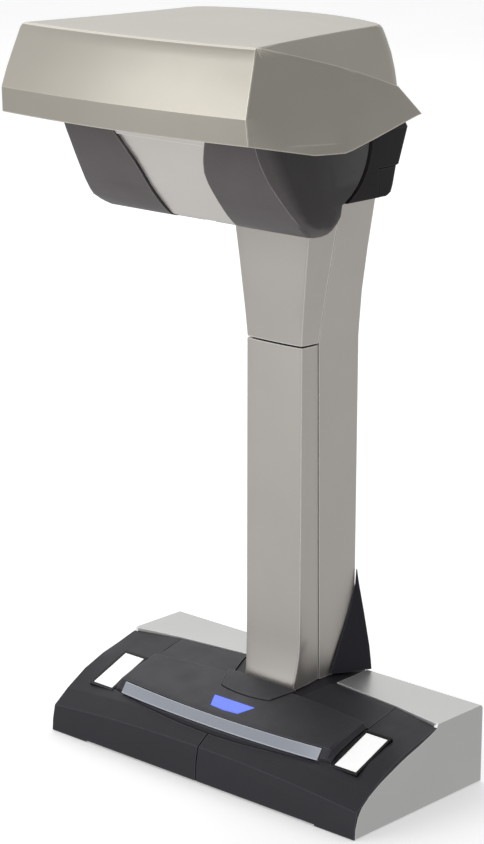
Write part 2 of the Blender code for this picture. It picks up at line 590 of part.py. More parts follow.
def hood_block(name, d, look=None):
    rings = []
    for row in HOOD:
        z = row[0] if row[0] < 370.0 else row[0] - d
        z = z - 2.0 * d if row is HOOD[0] else z
        rings.append([(x, y, z) for x, y in hood_outline(row[0], d)])
    for z, s in ((381.95, 0.93), (382.3, 0.6), (382.4, 0.25)):
        rings.append([(x * s, (y + 3.0) * s - 3.0, z - d) for x, y in hood_outline(381.6, d)])
    rise = []
    for ring in rings:
        rise.append([(x, y, z + ROOF_RISE * min(1.0, max(0.0, (y + 62.0) / 102.0)) * max(0.0, z - 370.0) / 12.0)
                     for x, y, z in ring])
    return loft(name, rise, look)


def wing_block(name, side, d):
    """The wing at one side: face swept over height, cut by the shelf on its top."""
    rings = []
    for row in (WING[:-1] if d else WING):
        z = row[0] - (3.0 * d + 0.7 if row is WING[0] else 0.0)
        cx, cy = table(HOOD, z, 2), table(HOOD, z, 3)
        qx, qy, mx, my, ex, ey = row[1:]
        pts = []
        for s in range(9):
            t = s / 8.0
            a, b, c = (1 - t) ** 2, 2 * t * (1 - t), t ** 2
            pts.append((a * cx + b * qx + c * mx, a * cy + b * qy + c * my))
        pts[0] = (cx - 0.3, cy + 0.02)
        pts += [(mx + (ex - mx) * k, my + (ey - my) * k) for k in (0.33, 0.67, 1.0)]
        tan = Vector((ex - mx, ey - my)).normalized()
        pts.append((ex + tan.x * 14.0, ey + tan.y * 14.0))
        pts = offset_open(pts, d) if d else pts
        ring = pts + [(40.0, pts[-1][1]), (40.0, pts[0][1])]
        rings.append([(side * x, y, z) for x, y in ring])
    body = loft(name, rings)
    over = [(-90.0, 400.0), (-90.0, 384.0 - d)] + [(y, z - d) for y, z in SHELF] + [(60.0, 320.0), (60.0, 400.0)]
    boolean(body, prism_x(name + "_shelf", over, -140.0, 140.0))
    return body


def rim_cut(name, lift, thick=None):
    low = [(-90.0, 300.0)] + [(y, z + lift) for y, z in RIM] + [(90.0, 300.0)]
    if thick is None:
        return prism_x(name, low, -130.0, 130.0)
    band = [(y, z + lift) for y, z in RIM] + [(y, z + lift + thick) for y, z in reversed(RIM)]
    return band


hood = hood_block("hood_cover", 0.0, SILVER)
for side, tag in ((-1, "left"), (1, "right")):
    boolean(hood, wing_block("add_wing_" + tag, side, 0.0), 'UNION')
boolean(hood, hood_block("cut_hood_core", 2.2))
for side, tag in ((-1, "left"), (1, "right")):
    boolean(hood, wing_block("cut_wing_core_" + tag, side, 2.2))
boolean(hood, rim_cut("cut_hood_rim", 0.0))

under = prism_x("head_under_cover", rim_cut("", 1.6, 1.8), -110.0, 110.0, BLACK)
under_area = hood_block("keep_under", 2.6)
for side, tag in ((-1, "left"), (1, "right")):
    boolean(under_area, wing_block("keep_under_wing_" + tag, side, 2.6), 'UNION')
boolean(under, under_area, 'INTERSECT')
boolean(under, box("cut_under", (-71.5, -56.0, 300.0), (71.0, 90.0, 400.0)))

# ---------------------------------------------------------------- swinging scan unit
def unit_front(z):
    return 0.00756071 * z * z - 5.397908 * z + 913.3314


def unit_row(z):
    """Front y, crease, side edge and rear of the scan unit at one height."""
    row = [table(UNIT, z, c) for c in range(1, 8)]
    if z > 302.6:
        rear = PIVOT_Y + math.sqrt(max(0.0, ARC_R ** 2 - (z - PIVOT_Z) ** 2))
        row = [unit_front(z) - 1.0] + row[1:5] + [rear, rear]
    return row


def unit_ring(z, d):
    f, w, cy, sx, sy, r, rm = unit_row(z)
    if d:
        right = [(w * 0.55, f), (w - 0.5, cy + 0.6), (sx, sy), (sx, r), (sx - 8.0, rm)]
        return offset_closed(right + [(-x, y) for x, y in reversed(right)], d)
    q = min(1.0, (r - cy) / 14.0)
    right = [(w * 0.55, f + (cy - f) * 0.3), (w - 3.0 * q, cy + (f - cy) * 0.06), (w - 0.6 * q, cy + 0.35 * q),
             (w + 0.9 * q, cy + 2.2 * q)]
    ux, uy = sx - w, sy - cy
    right += [(w + ux * 0.55 + 0.5 * q, cy + uy * 0.5), (sx - 0.5 * q, sy - 2.2 * q), (sx, sy + 0.8 * q),
              (sx, r - 1.6 * q), (sx - 0.6, r - 0.5 * q), (sx - 2.0, r), (sx - 12.0, rm)]
    return right + [(-x, y) for x, y in reversed(right)]


levels = [288.0, 288.6, 289.8, 291.4, 294.4, 297.5, 302.6, 303.0, 306.0, 310.0, 314.0, 318.0, 322.0, 326.0, 330.0,
          335.0, 338.0]
unit = loft("scan_unit_shell", [[(x, y, z) for x, y in unit_ring(z, 0.0)] for z in levels], DARK)
deep = [291.4, 294.4, 297.5, 302.6, 303.0, 306.0, 310.0, 314.0, 318.0, 322.0, 326.0, 330.0, 335.0, 340.0, 343.0]
boolean(unit, loft("cut_unit_core", [[(x, y, z) for x, y in unit_ring(z, 3.0)] for z in deep]))


def strip_ring(z, w, near, far):
    f = unit_front(z) if z > 291.3 else table(UNIT, z, 1) + 1.0
    return [(-w, f + near, z), (w, f + near, z), (w, f + far, z), (-w, f + far, z)]


zs = [288.9, 289.8, 291.4, 294.4, 297.5, 301.4, 306.0, 311.8, 317.7, 323.7, 328.0, 332.3, 336.0]
boolean(unit, loft("cut_strip", [strip_ring(z, table(STRIP, z, 1) + 0.3, -6.0, 2.0)
                                 for z in [286.0, 288.6] + zs[1:] + [342.0]]))
strip = loft("centre_strip", [strip_ring(z, table(STRIP, z, 1), 0.45, 1.7) for z in zs], SILVER)
strip_lip = loft("add_strip_lip", [strip_ring(z, table(STRIP, z, 1) - 0.02, -0.7, 1.7)
                                   for z in (331.2, 333.4)])
boolean(strip, strip_lip, 'UNION')
boolean(unit, prism_z("cut_lens_hole", circle(0.0, -7.0, 5.2, 32), 280.0, 296.0))
boolean(unit, prism_z("cut_lamp_hole", rounded(rect(20.0, -7.0, 18.0, 4.6), 1.0, 3), 280.0, 296.0))
boolean(unit, prism_x("cut_axle_seat", circle(PIVOT_Y, PIVOT_Z, 3.1, 28), -65.6, 65.6))

barrel = loft("lens_barrel", [[(x, y, z) for x, y in circle(0.0, -7.0, r, 32)]
                              for z, r in ((289.6, 4.9), (293.0, 4.9), (293.0, 5.8), (312.0, 5.8))], BLACK)
boolean(barrel, prism_z("cut_barrel", circle(0.0, -7.0, 4.3, 32), 280.0, 294.0))
boolean(barrel, prism_z("cut_barrel_deep", circle(0.0, -7.0, 3.4, 32), 293.0, 320.0))
loft("lens_glass", [[(x, y, z) for x, y in circle(0.0, -7.0, r, 32)]
                    for z, r in ((290.4, 1.2), (290.7, 3.0), (291.3, 4.1), (293.7, 4.1))], GLASS)
prism_z("lamp_window", rounded(rect(20.0, -7.0, 17.4, 4.0), 0.9, 3), 288.4, 290.2, WHITE)
box("sensor_board", (-22.0, -22.0, 312.5), (22.0, 9.0, 314.1), BOARD)
prism_x("scan_axle", circle(PIVOT_Y, PIVOT_Z, 3.0, 28), -65.2, 65.2, STEEL)

# ---------------------------------------------------------------- fixed dark housing behind the scan unit
def housing_ring(z, d):
    rear = table(HOUSING_BACK, z, 1)
    side = table([(302.8, 71.4), (333.8, 69.4), (341.0, 63.0), (347.0, 58.6), (352.0, 57.6)], z, 1)
    front = PIVOT_Y + math.sqrt(max(0.0, (ARC_R + SWING_GAP) ** 2 - (z - PIVOT_Z) ** 2))
    r = 4.0
    right = [(side - 1.5, front), (side, front + 1.5), (side, rear - r), (side - 0.3 * r, rear - 0.35 * r),
             (side - r, rear)]
    pts = right + [(-x, y) for x, y in reversed(right)]
    return offset_closed(pts, d) if d else pts


hz = [302.8, 304.2, 308.0, 312.0, 316.4, 316.8, 321.0, 325.0, 329.0, 333.8, 337.0, 341.0, 347.0, 351.0]


def housing_solid(name, look):
    body = loft(name, [[(x, y, z) for x, y in housing_ring(z, 0.0)] for z in hz], look)
    deep_z = [305.2] + hz[2:] + [356.0]
    core = loft("cut_core_" + name, [[(x, y, z) for x, y in housing_ring(z, 2.2)] for z in deep_z])
    boolean(body, core)
    return body


corner_lo, corner_hi = (-90.0, 30.0, 290.0), (90.0, 70.0, 316.6)
rear_housing = housing_solid("rear_housing", BLACK)
boolean(rear_housing, box("cut_corner", corner_lo, corner_hi))
corner = housing_solid("rear_corner_cover", BLACK)
boolean(corner, box("keep_corner", (-90.0, 30.3, 290.0), (90.0, 70.0, 316.3)), 'INTERSECT')

# ---------------------------------------------------------------- head frame, drive
IDLER_Y = PIVOT_Y + MODULE * (SECTOR_TEETH + IDLER_TEETH) / 2 * math.cos(MESH_ANGLE)
IDLER_Z = PIVOT_Z + MODULE * (SECTOR_TEETH + IDLER_TEETH) / 2 * math.sin(MESH_ANGLE)
PINION_ANGLE = math.radians(20.0)
PINION_Y = IDLER_Y + MODULE * (IDLER_TEETH + PINION_TEETH) / 2 * math.cos(PINION_ANGLE)
PINION_Z = IDLER_Z + MODULE * (IDLER_TEETH + PINION_TEETH) / 2 * math.sin(PINION_ANGLE)

arm = [(-16.0, 329.0), (-4.0, 329.0), (-1.0, 341.0), (20.0, 351.6), (58.0, 351.6), (58.0, 354.0), (34.0, 354.0),
       (34.0, 371.0), (2.0, 371.0), (-16.0, 352.0)]
plate_plan = [(-38.0, 30.0), (38.0, 30.0), (38.0, 58.0), (16.0, 68.0), (-16.0, 68.0), (-38.0, 58.0)]
head_frame = prism_z("head_frame", plate_plan, 351.6, 354.0, STEEL)
for side, tag in ((-1, "left"), (1, "right")):
    boolean(head_frame, prism_x("add_arm_" + tag, arm, side * 36.0, side * 38.0), 'UNION')
    boolean(head_frame, prism_x("cut_bush_" + tag, circle(PIVOT_Y, PIVOT_Z, 4.6, 28), side * 30.0, side * 44.0))
    bush = prism_x("pivot_bush_" + tag, circle(PIVOT_Y, PIVOT_Z, 4.5, 28), side * 35.2, side * 38.8, BRASS)
    boolean(bush, prism_x("cut_bush_bore_" + tag, circle(PIVOT_Y, PIVOT_Z, 3.06, 28), side * 30.0, side * 44.0))
boolean(head_frame, box("cut_harness_slot", (-6.0, 56.0, 340.0), (6.0, 66.0, 360.0)))
boolean(head_frame, prism_x("cut_gear_axle", circle(IDLER_Y, IDLER_Z, 1.6, 20), 30.0, 44.0))
boolean(head_frame, prism_x("cut_motor_shaft", circle(PINION_Y, PINION_Z, 3.2, 24), 30.0, 44.0))
boolean(head_frame, box("add_post", (-9.5, 66.9, 328.0), (9.5, 69.9, 352.0)), 'UNION')


def gear_outline(cy, cz, teeth, phase, lo=0, hi=None, hub=None):
    """Trapezoid-toothed gear in the y-z plane; a sector keeps teeth lo..hi and closes round the hub."""
    rp = MODULE * teeth / 2
    ra, rf = rp + MODULE * 0.92, rp - MODULE * 1.2
    pitch = 2 * math.pi / teeth
    hi = teeth if hi is None else hi
    pts = []
    for i in range(lo, hi):
        c = phase + i * pitch
        for frac, r in ((-0.30, rf), (-0.232, rp), (-0.12, ra), (0.12, ra), (0.232, rp), (0.30, rf)):
            pts.append((cy + r * math.cos(c + frac * pitch), cz + r * math.sin(c + frac * pitch)))
    if hub:
        a1, a0 = phase + (hi - 0.5) * pitch, phase + (lo - 0.5) * pitch
        pts.insert(0, (cy + rf * math.cos(a0), cz + rf * math.sin(a0)))
        pts.append((cy + rf * math.cos(a1), cz + rf * math.sin(a1)))
        turn = 2 * math.pi - (a1 - a0) - 1.2
        for s in range(15):
            t = a1 + 0.6 + turn * s / 14.0
            pts.append((cy + hub * math.cos(t), cz + hub * math.sin(t)))
    return pts


sector = prism_x("sector_gear", gear_outline(PIVOT_Y, PIVOT_Z, SECTOR_TEETH, MESH_ANGLE, -2, 11, 6.5), 39.4, 42.4,
                 PLASTIC)
boolean(sector, prism_x("cut_sector_bore", circle(PIVOT_Y, PIVOT_Z, 3.1, 28), 30.0, 50.0))
idler_phase = MESH_ANGLE + math.pi + math.pi / IDLER_TEETH
idler = prism_x("idler_gear", gear_outline(IDLER_Y, IDLER_Z, IDLER_TEETH, idler_phase), 39.2, 42.6, PLASTIC)
boolean(idler, prism_x("cut_idler_bore", circle(IDLER_Y, IDLER_Z, 1.56, 24), 30.0, 50.0))
prism_x("gear_axle", circle(IDLER_Y, IDLER_Z, 1.5, 24), 35.4, 43.6, STEEL)
idler_pitch = 2 * math.pi / IDLER_TEETH
steps = (PINION_ANGLE - idler_phase) / idler_pitch
offset = (steps - math.floor(steps)) * idler_pitch
pinion_pitch = 2 * math.pi / PINION_TEETH
pinion_phase = PINION_ANGLE + math.pi + pinion_pitch / 2 + offset * IDLER_TEETH / PINION_TEETH
pinion = prism_x("motor_pinion", gear_outline(PINION_Y, PINION_Z, PINION_TEETH, pinion_phase), 39.2, 42.6, BRASS)
boolean(pinion, prism_x("add_pinion_shaft", circle(PINION_Y, PINION_Z, 1.0, 16), 33.0, 40.0), 'UNION')
motor = prism_x("drive_motor", circle(PINION_Y, PINION_Z, 9.0, 36), 16.0, 35.6, STEEL)
boolean(motor, prism_x("cut_motor_bore", circle(PINION_Y, PINION_Z, 1.3, 20), 32.0, 40.0))

# ---------------------------------------------------------------- wiring inside the column
path = [(-22.0, 50.0, 20.0), (-8.0, 53.0, 20.4), (-2.0, 58.0, 24.0), (0.0, 62.0, 32.0), (0.0, 63.0, 180.0),
        (0.0, 61.5, 340.0), (0.0, 60.5, 354.0), (0.0, 54.0, 359.0), (4.0, 36.0, 360.0), (9.0, 26.0, 360.5)]
curve = bpy.data.curves.new("wire_path", 'CURVE')
curve.dimensions = '3D'
curve.bevel_depth = 2.0 * K
curve.bevel_resolution = 2
curve.use_fill_caps = True
curve.twist_mode = 'MINIMUM'
spline = curve.splines.new('POLY')
spline.points.add(len(path) - 1)
for p, (x, y, z) in zip(spline.points, path):
    p.co = (x * K, y * K, z * K, 1.0)
wire = bpy.data.objects.new("wire_path", curve)
PARTS.objects.link(wire)
deps = bpy.context.evaluated_depsgraph_get()
wire_mesh = bpy.data.meshes.new_from_object(wire.evaluated_get(deps))
weld = bmesh.new()
weld.from_mesh(wire_mesh)
bmesh.ops.remove_doubles(weld, verts=weld.verts, dist=0.00001)
weld.to_mesh(wire_mesh)
weld.free()
bpy.data.objects.remove(wire, do_unlink=True)
harness = bpy.data.objects.new("wire_harness", wire_mesh)
PARTS.objects.link(harness)
wire_mesh.materials.clear()
wire_mesh.materials.append(paint("wire_harness", *RUBBER))
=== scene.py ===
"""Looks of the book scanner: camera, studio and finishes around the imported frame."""

import math

import bmesh
import bpy
from mathutils import Matrix, Vector


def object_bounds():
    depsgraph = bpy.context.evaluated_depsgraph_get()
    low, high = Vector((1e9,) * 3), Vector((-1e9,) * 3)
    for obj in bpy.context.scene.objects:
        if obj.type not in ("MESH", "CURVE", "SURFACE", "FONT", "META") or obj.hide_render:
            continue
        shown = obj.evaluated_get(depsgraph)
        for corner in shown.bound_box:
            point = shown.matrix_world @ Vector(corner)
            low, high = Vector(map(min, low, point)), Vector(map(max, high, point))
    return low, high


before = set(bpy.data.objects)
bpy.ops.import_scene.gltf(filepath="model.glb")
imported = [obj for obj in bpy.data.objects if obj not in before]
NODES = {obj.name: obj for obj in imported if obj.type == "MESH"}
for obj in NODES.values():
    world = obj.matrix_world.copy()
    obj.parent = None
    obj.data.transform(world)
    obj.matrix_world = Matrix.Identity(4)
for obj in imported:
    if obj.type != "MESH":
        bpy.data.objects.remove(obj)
CAD_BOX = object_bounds()
ROOT = bpy.context.scene.collection
MM = 0.001

# middle of each white sheet, and half the size of the frame round it, where the deck is painted darker as
# recess shadow
SHEET_X = 84.2 * MM
SHEET_Y = 7.8 * MM
FRAME_HALF_WIDTH = 8.7 * MM
FRAME_HALF_LENGTH = 14.0 * MM

# creases of the frame's nodes
HOOD_BAND_Z = 351.5 * MM
HOOD_FACE_Y = -66.0 * MM
DECK_CREASE_Y = -10.9 * MM
DECK_CREASE_FLOOR = 15.0 * MM


# ---------------------------------------------------------------- camera

def make_camera():
    yaw = math.radians(42.22)
    pitch = math.radians(-15.16)
    roll = math.radians(0.2)
    ahead = Vector((-math.sin(yaw) * math.cos(pitch), math.cos(yaw) * math.cos(pitch), math.sin(pitch)))
    right = Vector((math.cos(yaw), math.sin(yaw), 0.0))
    up = right.cross(ahead)
    side = right * math.cos(roll) + up * math.sin(roll)
    top = up * math.cos(roll) - right * math.sin(roll)
    data = bpy.data.cameras.new("camera")
    data.sensor_width = 36.0
    data.lens = 110.06
    data.shift_x = -0.0072
    data.shift_y = 0.0007
    data.clip_start = 0.05
    data.clip_end = 60.0
    camera = bpy.data.objects.new("camera", data)
    ROOT.objects.link(camera)
    matrix = Matrix.Identity(4)
    for i in range(3):
        matrix[i][0] = side[i]
        matrix[i][1] = top[i]
        matrix[i][2] = -ahead[i]
    matrix.translation = Vector((0.83728, -0.90624, 0.51939))
    camera.matrix_world = matrix
    bpy.context.scene.camera = camera


# ---------------------------------------------------------------- material tools

class Tree:
    """A small wrapper that adds and links shader nodes."""

    def __init__(self, name):
        self.material = bpy.data.materials.new(name)
        self.material.use_nodes = True
        self.tree = self.material.node_tree
        self.shader = self.tree.nodes["Principled BSDF"]
        self.place = self.add("ShaderNodeTexCoord").outputs["Object"]

    def add(self, kind, **values):
        node = self.tree.nodes.new(kind)
        for key, value in values.items():
            setattr(node, key, value)
        return node

    def put(self, socket, value):
        if isinstance(value, bpy.types.NodeSocket):
            self.tree.links.new(value, socket)
        else:
            socket.default_value = value

    def noise(self, scale, detail=3.0, rough=0.5, stretch=None, at=None):
        where = at or self.place
        if stretch:
            mapping = self.add("ShaderNodeMapping")
            mapping.inputs["Scale"].default_value = stretch
            self.put(mapping.inputs["Vector"], where)
            where = mapping.outputs["Vector"]
        node = self.add("ShaderNodeTexNoise")
        self.put(node.inputs["Vector"], where)
        node.inputs["Scale"].default_value = scale
        node.inputs["Detail"].default_value = detail
        node.inputs["Roughness"].default_value = rough
        return node.outputs["Fac"]

    def cells(self, scale, feature="F1"):
        node = self.add("ShaderNodeTexVoronoi", feature=feature)
        self.put(node.inputs["Vector"], self.place)
        node.inputs["Scale"].default_value = scale
        return node.outputs["Distance"]

    def spread(self, value, low, high, start=0.3, end=0.7, smooth=False):
        node = self.add("ShaderNodeMapRange")
        if smooth:
            node.interpolation_type = "SMOOTHSTEP"
        self.put(node.inputs["Value"], value)
        node.inputs["From Min"].default_value = start
        node.inputs["From Max"].default_value = end
        node.inputs["To Min"].default_value = low
        node.inputs["To Max"].default_value = high
        return node.outputs["Result"]

    def maths(self, operation, a, b=0.0, clamp=False):
        node = self.add("ShaderNodeMath", operation=operation, use_clamp=clamp)
        self.put(node.inputs[0], a)
        self.put(node.inputs[1], b)
        return node.outputs[0]

    def axis(self, vector, letter):
        node = self.add("ShaderNodeSeparateXYZ")
        self.put(node.inputs[0], vector)
        return node.outputs[letter]

    def near(self, value, middle, half):
        """1 where the value lies within half of the middle, and 0 elsewhere."""
        return self.maths("LESS_THAN", self.maths("ABSOLUTE", self.maths("SUBTRACT", value, middle)), half)

    def mix(self, factor, a, b, blend="MIX"):
        node = self.add("ShaderNodeMix", data_type="RGBA", blend_type=blend)
        self.put(node.inputs["Factor"], factor)
        for socket, value in ((node.inputs["A"], a), (node.inputs["B"], b)):
            self.put(socket, value if isinstance(value, bpy.types.NodeSocket) else (*value, 1.0))
        return [s for s in node.outputs if s.type == "RGBA"][0]

    def bump(self, *layers):
        """layers are (height, strength, depth in metres), laid one over the other."""
        last = None
        for height, strength, depth in layers:
            node = self.add("ShaderNodeBump")
            node.inputs["Strength"].default_value = strength
            node.inputs["Distance"].default_value = depth
            self.put(node.inputs["Height"], height)
            if last:
                self.put(node.inputs["Normal"], last)
            last = node.outputs["Normal"]
        self.put(self.shader.inputs["Normal"], last)

    def edges(self, radius, gain):
        """1 on outer edges and 0 on flats, from how a rounded normal leaves the true one; it is used to
        lighten edges, partly as wear and partly as painted highlights.
        """
        soft = self.add("ShaderNodeBevel", samples=4)
        soft.inputs["Radius"].default_value = radius
        true = self.add("ShaderNodeNewGeometry").outputs["Normal"]
        dot = self.add("ShaderNodeVectorMath", operation="DOT_PRODUCT")
        self.put(dot.inputs[0], soft.outputs["Normal"])
        self.put(dot.inputs[1], true)
        away = self.maths("SUBTRACT", 1.0, dot.outputs["Value"])
        return self.maths("MULTIPLY", away, gain, clamp=True)

    def set(self, **values):
        names = {"colour": "Base Color", "rough": "Roughness", "metal": "Metallic",
                 "spec": "Specular IOR Level",
                 "coat": "Coat Weight", "coat_rough": "Coat Roughness", "glow": "Emission Color",
                 "glow_strength": "Emission Strength", "aniso": "Anisotropic"}
        for key, value in values.items():
            socket = self.shader.inputs[names[key]]
            if isinstance(value, tuple) and len(value) == 3:
                value = (*value, 1.0)
            self.put(socket, value)


def tone(colour, factor):
    return tuple(min(1.0, c * factor) for c in colour)


def painted(name, colour, rough=0.36, metal=0.75, flake=0.05, coat=0.1):
    """Silver paint on moulded plastic: fine flakes, faint mottling, a light orange peel and edges painted
    brighter, partly as edge wear and partly as painted highlights.
    """
    t = Tree(name)
    broad = t.noise(22.0, 4.0)
    flakes = t.noise(5200.0, 2.0, 0.7)
    base = t.mix(t.spread(broad, 0.0, 1.0), tone(colour, 0.975), tone(colour, 1.02))
    fleck = t.mix(t.spread(flakes, 0.0, 1.0, 0.42, 0.6), tone((1, 1, 1), 1.0 - flake), (1.0, 1.0, 1.0))
    base = t.mix(1.0, base, fleck, "MULTIPLY")
    # edges painted lighter, less rough and less metallic: partly edge wear, partly painted highlight
    wear_and_highlight_edge_mask = t.edges(0.0009, 22.0)
    edge_wear_and_highlight = t.maths("MULTIPLY", wear_and_highlight_edge_mask, t.spread(t.noise(160.0, 4.0, 0.6), 0.7, 1.0))
    base = t.mix(t.maths("MULTIPLY", edge_wear_and_highlight, 0.85), base, tone(colour, 2.0))
    smudge = t.noise(45.0, 5.0, 0.62)
    gloss = t.spread(smudge, rough - 0.012, rough + 0.015)
    gloss = t.maths("SUBTRACT", gloss, t.maths("MULTIPLY", edge_wear_and_highlight, 0.06))
    sheen = t.maths("SUBTRACT", metal, t.maths("MULTIPLY", edge_wear_and_highlight, 0.55))
    t.set(colour=base, rough=gloss, metal=sheen, coat=coat, coat_rough=0.35)
    t.bump((t.noise(900.0, 2.0), 0.12, 0.00004), (flakes, 0.10, 0.00001))
    return t.material


def moulded(name, colour, rough=0.5, grain=2600.0, depth=0.00004, strength=0.35, spec=0.45, lighter=4.5,
            side_shade_tone=1.0, recess_shade_tone=1.0):
    """Moulded plastic with a spark-eroded grain, faint flow mottling and edges painted a little lighter,
    partly as rubbing wear and partly as painted highlights.
    The sideways tone paints shade on faces that look sideways, and the frame tone paints shadow in the
    recessed frames round the white sheets."""
    t = Tree(name)
    broad = t.noise(30.0, 5.0, 0.6)
    pits = t.noise(grain, 3.0, 0.65)
    cells = t.cells(grain * 0.6)
    base = t.mix(t.spread(broad, 0.0, 1.0), tone(colour, 0.93), tone(colour, 1.07))
    base = t.mix(t.spread(pits, 0.0, 0.45, 0.4, 0.75), base, tone(colour, 1.6))
    # edges painted lighter and less rough: partly rubbing wear, partly painted highlight
    edge_wear_and_highlight = t.maths("MULTIPLY", t.edges(0.0009, 16.0), t.spread(t.noise(210.0, 4.0, 0.6), 0.45, 1.0))
    base = t.mix(t.maths("MULTIPLY", edge_wear_and_highlight, 0.75), base, tone(colour, lighter))
    # faces that look sideways are painted darker here, as painted shade
    if side_shade_tone < 1.0:
        facing = t.maths("ABSOLUTE", t.axis(t.add("ShaderNodeTexCoord").outputs["Normal"], "X"))
        base = t.mix(t.spread(facing, 0.0, 1.0, 0.90, 0.96), base, tone(colour, side_shade_tone))
    # the frames round the white sheets are painted darker, as painted shadow in the recesses
    if recess_shade_tone < 1.0:
        across = t.near(t.maths("ABSOLUTE", t.axis(t.place, "X")), SHEET_X, FRAME_HALF_WIDTH)
        along = t.near(t.axis(t.place, "Y"), SHEET_Y, FRAME_HALF_LENGTH)
        base = t.mix(t.maths("MULTIPLY", across, along), base, tone(colour, recess_shade_tone))
    gloss = t.spread(t.noise(55.0, 5.0, 0.6), rough - 0.05, rough + 0.06)
    gloss = t.maths("SUBTRACT", gloss, t.maths("MULTIPLY", edge_wear_and_highlight, 0.1))
    t.set(colour=base, rough=gloss, spec=spec)
    t.bump((cells, strength * 0.6, depth), (pits, strength, depth))
    return t.material


def metal(name, colour, rough=0.3, along=(1.0, 1.0, 14.0), aniso=0.4):
    """Drawn or turned metal: fine streaks, dull spots and brighter edges."""
    t = Tree(name)
    streak = t.noise(900.0, 4.0, 0.6, stretch=along)
    spots = t.noise(120.0, 5.0, 0.7)
    base = t.mix(t.spread(streak, 0.0, 1.0), tone(colour, 0.86), tone(colour, 1.08))
    base = t.mix(t.spread(spots, 0.0, 0.35, 0.5, 0.8), base, tone(colour, 0.7))
    base = t.mix(t.maths("MULTIPLY", t.edges(0.0004, 1.5), 0.4), base, tone(colour, 1.35))
    t.set(colour=base, rough=t.spread(spots, rough - 0.06, rough + 0.1), metal=1.0, aniso=aniso)
    t.bump((streak, 0.2, 0.00002))
    return t.material


def rubber(name, colour):
    t = Tree(name)
    dust = t.noise(700.0, 5.0, 0.7)
    base = t.mix(t.spread(dust, 0.0, 0.5, 0.45, 0.75), colour, tone(colour, 2.2))
    base = t.mix(t.maths("MULTIPLY", t.edges(0.0005, 1.6), 0.5), base, tone(colour, 2.6))
    t.set(colour=base, rough=t.spread(t.noise(90.0, 4.0), 0.78, 0.92), spec=0.3)
    t.bump((dust, 0.4, 0.00006))
    return t.material


def board(name, colour):
    """Solder mask with copper tracks that show through as a lighter net."""
    t = Tree(name)
    brick = t.add("ShaderNodeTexBrick", offset=0.5)
    t.put(brick.inputs["Vector"], t.place)
    brick.inputs["Scale"].default_value = 120.0
    brick.inputs["Mortar Size"].default_value = 0.04
    tracks = brick.outputs["Fac"]
    base = t.mix(t.spread(t.noise(60.0, 4.0), 0.0, 1.0), tone(colour, 0.85), tone(colour, 1.15))
    base = t.mix(t.maths("MULTIPLY", tracks, 0.6), base, tone(colour, 2.0))
    t.set(colour=base, rough=t.spread(t.noise(200.0), 0.32, 0.45), spec=0.5, coat=0.3, coat_rough=0.2)
    t.bump((tracks, 0.3, 0.00005))
    return t.material


def paper(name, colour):
    """Matt white card of the reference sheets: soft fibres and a faint cool mottling."""
    t = Tree(name)
    fibres = t.noise(1500.0, 5.0, 0.7, stretch=(1.0, 0.35, 1.0))
    base = t.mix(t.spread(fibres, 0.0, 1.0), tone(colour, 0.96), tone(colour, 1.03))
    base = t.mix(t.spread(t.noise(35.0, 3.0), 0.0, 0.3), base, (0.80, 0.81, 0.84))
    # the faint white glow is painted light, lifting the card to a clean white
    t.set(colour=base, rough=t.spread(fibres, 0.55, 0.7), spec=0.35, glow=(1.0, 1.0, 1.0), glow_strength=0.28)
    t.bump((fibres, 0.25, 0.00004))
    return t.material


def lit(name, colour, glow, strength):
    """A translucent lens over a lamp: the light pools in the middle of the lens."""
    t = Tree(name)
    pool = t.noise(260.0, 2.0)
    base = t.mix(t.spread(pool, 0.0, 1.0), tone(colour, 0.85), tone(colour, 1.2))
    t.set(colour=base, rough=t.spread(t.noise(600.0, 3.0), 0.3, 0.4), spec=0.25,
          glow=t.mix(t.spread(pool, 0.0, 0.6), glow, tone(glow, 0.8)), glow_strength=strength)
    t.bump((t.noise(1200.0), 0.08, 0.00002))
    return t.material


def glass(name, colour):
    t = Tree(name)
    film = t.noise(40.0, 4.0, 0.6)
    base = t.mix(t.spread(film, 0.0, 1.0), tone(colour, 0.9), tone(colour, 1.15))
    t.set(colour=base, rough=t.spread(t.noise(160.0, 5.0, 0.65), 0.03, 0.09), spec=0.8, coat=1.0,
          coat_rough=0.03)
    t.bump((film, 0.02, 0.00002))
    return t.material


def wires(name):
    """A bundle of coloured leads, told apart by bands along the bundle."""
    t = Tree(name)
    strand = t.noise(420.0, 1.0, 0.4, stretch=(1.0, 1.0, 0.02))
    base = t.mix(t.spread(strand, 0.0, 1.0, 0.45, 0.55), (0.03, 0.03, 0.035), (0.35, 0.03, 0.03))
    base = t.mix(t.spread(strand, 0.0, 1.0, 0.58, 0.62), base, (0.55, 0.5, 0.42))
    t.set(colour=base, rough=t.spread(t.noise(300.0), 0.4, 0.55))
    t.bump((strand, 0.5, 0.0002))
    return t.material


# ---------------------------------------------------------------- finishes

WARM = (0.430, 0.405, 0.355)
COOL = (0.580, 0.578, 0.572)
LOOKS = {}


